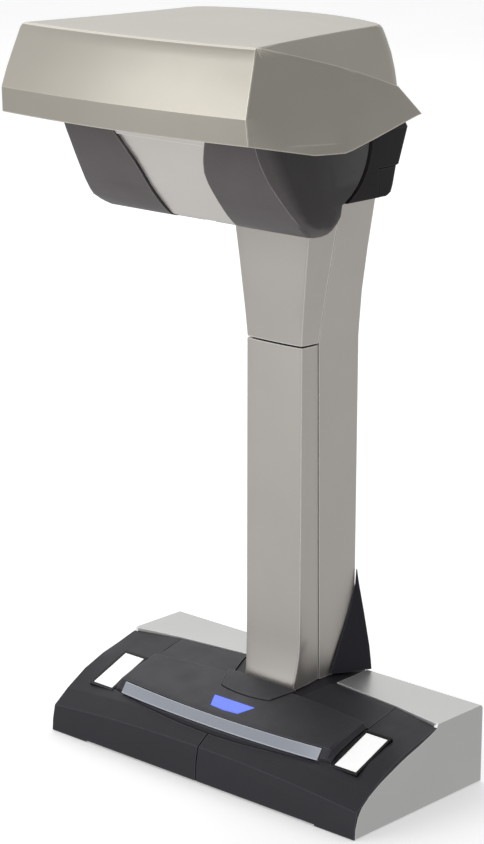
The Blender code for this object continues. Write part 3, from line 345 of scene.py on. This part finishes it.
def make_finishes():
    LOOKS["hood"] = painted("silver_paint_hood", WARM)
    LOOKS["silver"] = painted("silver_paint_base", COOL)
    LOOKS["column"] = painted("silver_paint_column", (0.545, 0.515, 0.480))
    LOOKS["strip"] = painted("silver_paint_strip", (0.80, 0.765, 0.73))
    # the scan unit shell's sideways faces are painted darker, as painted shade
    LOOKS["grey"] = moulded("grey_plastic", (0.100, 0.088, 0.090), rough=0.42, strength=0.2, spec=0.4,
                            side_shade_tone=0.42)
    LOOKS["dark"] = moulded("dark_plastic", (0.017, 0.0145, 0.0165), rough=0.55, spec=0.18)
    # the deck is painted darker in the frames round the sheets, as painted recess shadow
    LOOKS["deck"] = moulded("deck_plastic", (0.019, 0.0172, 0.0225), rough=0.5, grain=1500.0, strength=0.7,
                            spec=0.30, recess_shade_tone=0.15)
    LOOKS["console"] = moulded("console_plastic", (0.021, 0.0195, 0.0245), rough=0.48, grain=1300.0,
                               strength=0.8, spec=0.34)
    LOOKS["fin"] = moulded("fin_plastic", (0.018, 0.0172, 0.024), rough=0.5, spec=0.25)
    LOOKS["bar"] = painted("scan_bar_paint", (0.33, 0.35, 0.40), rough=0.38, metal=0.5)
    LOOKS["steel"] = metal("bright_steel", (0.62, 0.62, 0.63))
    LOOKS["plate"] = metal("zinc_plate", (0.42, 0.43, 0.44), rough=0.42)
    LOOKS["brass"] = metal("brass", (0.72, 0.55, 0.26))
    LOOKS["gear"] = moulded("gear_plastic", (0.78, 0.76, 0.70), rough=0.42, lighter=1.1)
    LOOKS["rubber"] = rubber("black_rubber", (0.018, 0.018, 0.019))
    LOOKS["board"] = board("solder_mask", (0.02, 0.14, 0.06))
    LOOKS["sheet"] = paper("white_card", (0.96, 0.96, 0.95))
    LOOKS["status"] = lit("status_lens_blue", (0.05, 0.09, 0.60), (0.14, 0.21, 0.95), 0.8)
    LOOKS["lamp"] = lit("lamp_diffuser", (0.75, 0.75, 0.70), (1.0, 0.95, 0.85), 0.15)
    LOOKS["glass"] = glass("coated_glass", (0.02, 0.025, 0.04))
    LOOKS["wires"] = wires("lead_bundle")


FINISH = {
    "hood_cover": "hood", "base_rear_housing": "silver",
    "front_cover_left": "deck", "front_cover_right": "deck",
    "console_cover": "console", "column_surround": "deck", "scan_button": "bar", "status_lens": "status",
    "stop_button": "console", "reference_sheet_left": "sheet", "reference_sheet_right": "sheet",
    "base_floor_plate": "dark", "ballast_plate": "plate", "main_board": "board", "dc_inlet": "dark",
    "usb_socket": "steel", "scan_switch_left": "dark", "scan_switch_right": "dark", "stop_switch": "dark",
    "fin_left": "fin", "fin_right": "fin", "column_front_cover": "column", "neck_front_cover": "column",
    "column_rear_cover": "column", "column_frame": "plate", "wire_harness": "wires",
    "head_under_cover": "dark", "rear_housing": "dark", "rear_corner_cover": "dark", "head_frame": "dark",
    "pivot_bush_left": "brass", "pivot_bush_right": "brass", "gear_axle": "steel", "drive_motor": "plate",
    "scan_unit_shell": "grey", "centre_strip": "strip", "scan_axle": "steel", "sector_gear": "gear",
    "lens_barrel": "fin", "lens_glass": "glass", "lamp_window": "lamp", "sensor_board": "board",
    "idler_gear": "gear", "motor_pinion": "brass",
}
for number in range(1, 5):
    FINISH[f"base_screw_{number}"] = "steel"
    FINISH[f"rubber_foot_{number}"] = "rubber"

ROUNDING = {
    "hood_cover": 0.0, "base_rear_housing": 0.3, "front_cover_left": 0.25, "front_cover_right": 0.25,
    "console_cover": 0.3, "column_surround": 0.3, "scan_button": 0.35, "status_lens": 0.2, "stop_button": 0.3,
    "reference_sheet_left": 0.1, "reference_sheet_right": 0.1, "base_floor_plate": 0.4, "fin_left": 0.5,
    "fin_right": 0.5, "column_front_cover": 0.35, "neck_front_cover": 0.35, "column_rear_cover": 0.35,
    "head_under_cover": 0.4, "rear_housing": 0.5, "rear_corner_cover": 0.4, "scan_unit_shell": 0.0,
    "centre_strip": 0.35, "rubber_foot_1": 0.5, "rubber_foot_2": 0.5, "rubber_foot_3": 0.5,
    "rubber_foot_4": 0.5,
}


CURVED = ("hood_cover", "scan_unit_shell")


# ---------------------------------------------------------------- soft edges on the frame's nodes

def smooth_group(name, limit, creases=()):
    """Shades a mesh smooth, apart from edges that turn by more than the limit and edges on the crease lines.
    A crease is (axis, its place, half its width, bounding axis, bound, side of the bound)."""
    group = bpy.data.node_groups.new(name, "GeometryNodeTree")
    group.interface.new_socket("Geometry", in_out="INPUT", socket_type="NodeSocketGeometry")
    group.interface.new_socket("Geometry", in_out="OUTPUT", socket_type="NodeSocketGeometry")

    def add(kind, **values):
        node = group.nodes.new(kind)
        for key, value in values.items():
            setattr(node, key, value)
        return node

    def compare(value, operation, other):
        node = add("FunctionNodeCompare", operation=operation)
        group.links.new(value, node.inputs["A"])
        node.inputs["B"].default_value = other
        return node.outputs["Result"]

    def logic(operation, first, second):
        node = add("FunctionNodeBooleanMath", operation=operation)
        group.links.new(first, node.inputs[0])
        group.links.new(second, node.inputs[1])
        return node.outputs[0]

    start = add("NodeGroupInput")
    end = add("NodeGroupOutput")
    angle = add("GeometryNodeInputMeshEdgeAngle").outputs["Unsigned Angle"]
    place = add("ShaderNodeSeparateXYZ")
    group.links.new(add("GeometryNodeInputPosition").outputs[0], place.inputs[0])
    sharp = compare(angle, "GREATER_THAN", limit)
    turned = compare(angle, "GREATER_THAN", math.radians(2.0))
    for axis, middle, half, bound_axis, bound, side in creases:
        over = compare(place.outputs[axis], "GREATER_THAN", middle - half)
        under = compare(place.outputs[axis], "LESS_THAN", middle + half)
        inside = compare(place.outputs[bound_axis], side, bound)
        line = logic("AND", logic("AND", over, under), logic("AND", inside, turned))
        sharp = logic("OR", sharp, line)
    last = start.outputs[0]
    for domain, smooth, chosen in (("FACE", True, None), ("EDGE", True, None), ("EDGE", False, sharp)):
        node = add("GeometryNodeSetShadeSmooth", domain=domain)
        node.inputs["Shade Smooth"].default_value = smooth
        group.links.new(last, node.inputs["Geometry"])
        if chosen:
            group.links.new(chosen, node.inputs["Selection"])
        last = node.outputs["Geometry"]
    group.links.new(last, end.inputs[0])
    return group


def soften(obj, width, group, angle=32.0, curved=False):
    weld = obj.modifiers.new("weld", "WELD")
    weld.merge_threshold = 0.000002
    if not curved:
        flat = obj.modifiers.new("flats", "DECIMATE")
        flat.decimate_type = "DISSOLVE"
        flat.angle_limit = math.radians(0.6)
    if width:
        bevel = obj.modifiers.new("rounding", "BEVEL")
        bevel.width = width * MM
        bevel.segments = 3
        bevel.limit_method = "ANGLE"
        bevel.angle_limit = math.radians(angle)
        bevel.use_clamp_overlap = not curved
    nodes = obj.modifiers.new("smooth", "NODES")
    nodes.node_group = group
    if not curved:
        even = obj.modifiers.new("even", "WEIGHTED_NORMAL")
        even.keep_sharp = True
        even.weight = 60


def dress_nodes():
    limit = math.radians(34.0)
    group = smooth_group("smooth_by_angle", limit)
    band = ("Z", HOOD_BAND_Z, 0.5 * MM, "Y", HOOD_FACE_Y, "LESS_THAN")
    fold = ("Y", DECK_CREASE_Y, 0.6 * MM, "Z", DECK_CREASE_FLOOR, "GREATER_THAN")
    special = {"hood_cover": smooth_group("hood_creases", math.radians(16.0), [band])}
    deck = smooth_group("deck_creases", limit, [fold])
    special["front_cover_left"] = special["front_cover_right"] = deck
    special["console_cover"] = smooth_group("console_creases", math.radians(14.0))
    for name, obj in NODES.items():
        mesh = obj.data
        for layer in ("sharp_edge", "custom_normal"):
            if layer in mesh.attributes:
                mesh.attributes.remove(mesh.attributes[layer])
        mesh.materials.clear()
        mesh.materials.append(LOOKS[FINISH[name]])
        soften(obj, ROUNDING.get(name, 0.15), special.get(name, group), curved=name in CURVED)


# ---------------------------------------------------------------- studio

ROOM_LEFT = 0.95
ROOM_RIGHT = 0.44
GROUND = 0.68


def make_floor():
    mesh = bpy.data.meshes.new("studio_floor")
    shape = bmesh.new()
    bmesh.ops.create_circle(shape, cap_ends=True, segments=96, radius=14.0)
    shape.to_mesh(mesh)
    shape.free()
    floor = bpy.data.objects.new("studio_floor", mesh)
    floor.location = (0.0, 0.0, CAD_BOX[0][2] - 0.0001)
    ROOT.objects.link(floor)
    t = Tree("studio_floor")
    tint = t.mix(t.spread(t.noise(3.0), 0.0, 1.0), (0.90, 0.90, 0.90), (0.93, 0.93, 0.93))
    t.set(colour=tint, rough=0.8, spec=0.1, glow=(1.0, 1.0, 1.0), glow_strength=0.3)
    floor.data.materials.append(t.material)
    floor.visible_glossy = False
    floor.visible_diffuse = False


def area(name, place, target, size, power):
    data = bpy.data.lights.new(name, "AREA")
    data.shape = "SQUARE"
    data.size = size
    data.energy = power
    light = bpy.data.objects.new(name, data)
    light.location = place
    light.rotation_euler = (Vector(target) - Vector(place)).to_track_quat("-Z", "Y").to_euler()
    ROOT.objects.link(light)


def make_world():
    """A bright room to the left and above, a dim one to the right, and an even pale ground below."""
    world = bpy.data.worlds.new("studio")
    world.use_nodes = True
    tree = world.node_tree
    place = tree.nodes.new("ShaderNodeTexCoord")
    split = tree.nodes.new("ShaderNodeSeparateXYZ")
    tree.links.new(place.outputs["Generated"], split.inputs[0])
    room = tree.nodes.new("ShaderNodeMapRange")
    room.inputs["From Min"].default_value = -1.0
    room.inputs["From Max"].default_value = 1.0
    room.inputs["To Min"].default_value = ROOM_LEFT
    room.inputs["To Max"].default_value = ROOM_RIGHT
    tree.links.new(split.outputs["X"], room.inputs["Value"])
    level = tree.nodes.new("ShaderNodeMapRange")
    level.interpolation_type = "SMOOTHSTEP"
    level.inputs["From Min"].default_value = -0.12
    level.inputs["From Max"].default_value = 0.08
    tree.links.new(split.outputs["Z"], level.inputs["Value"])
    blend = tree.nodes.new("ShaderNodeMix")
    blend.inputs["A"].default_value = GROUND
    tree.links.new(level.outputs["Result"], blend.inputs["Factor"])
    tree.links.new(room.outputs["Result"], blend.inputs["B"])
    sky = tree.nodes["Background"]
    sky.inputs["Color"].default_value = (1.0, 1.0, 1.0, 1.0)
    tree.links.new(blend.outputs["Result"], sky.inputs["Strength"])
    bpy.context.scene.world = world


def make_studio():
    make_floor()
    make_world()
    bpy.context.scene.view_settings.view_transform = "Standard"
    area("key", (-1.08, -2.05, 0.85), (0.0, 0.0, 0.25), 1.5, 13.5)
    area("top", (-1.3, 0.9, 2.0), (0.0, 0.0, 0.1), 1.7, 11.5)


make_camera()
make_finishes()
dress_nodes()
make_studio()
